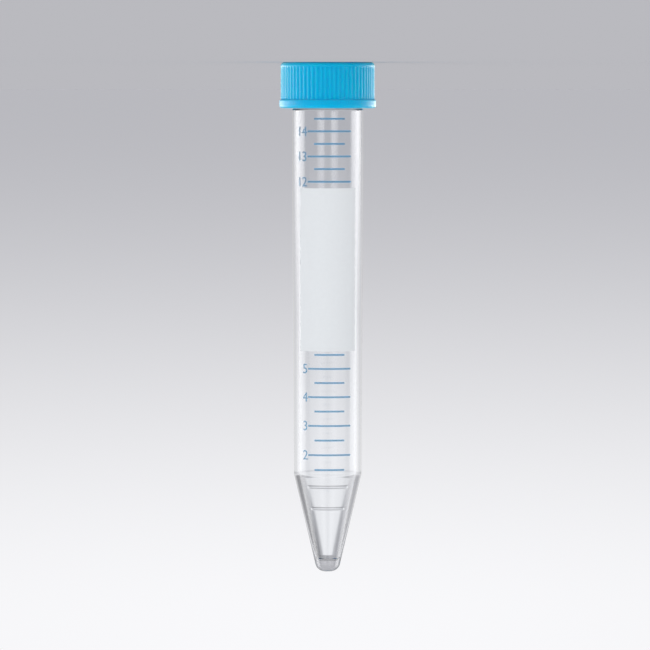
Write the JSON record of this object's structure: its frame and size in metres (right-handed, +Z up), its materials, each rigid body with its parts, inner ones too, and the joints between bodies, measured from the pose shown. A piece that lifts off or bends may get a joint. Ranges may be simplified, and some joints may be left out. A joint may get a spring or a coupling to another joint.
{
  "type": "conical centrifuge tube",
  "caption": "Clear 15 ml tube with a conical lower end, a white writing patch and blue volume marks, closed by a fluted blue screw cap.",
  "frame": {"origin": "at the middle of the cap's flat top, on which the tube stands, at floor height", "axes": "+Z runs up the tube's axis from the cap to the tip, the printed front faces -Y, and -X is to the right of a person who reads the print with the cap up"},
  "size_m": [0.0226, 0.0228, 0.1197],
  "materials": {
    "clear_plastic": "clear polystyrene, polished",
    "blue_plastic": "moulded polyethylene, satin",
    "white_ink": "matt printed ink",
    "blue_ink": "printed ink"
  },
  "bodies": {
    "cap": {"cap": "blue_plastic"},
    "tube": {"tube": "clear_plastic", "writing_patch": "white_ink", "volume_marks": "blue_ink"}
  },
  "joints": [
    {"name": "tube_lift", "type": "slide", "parent": "cap", "child": "tube", "axis": [0, 0, 1], "range_m": [0, 0.03]}
  ]
}
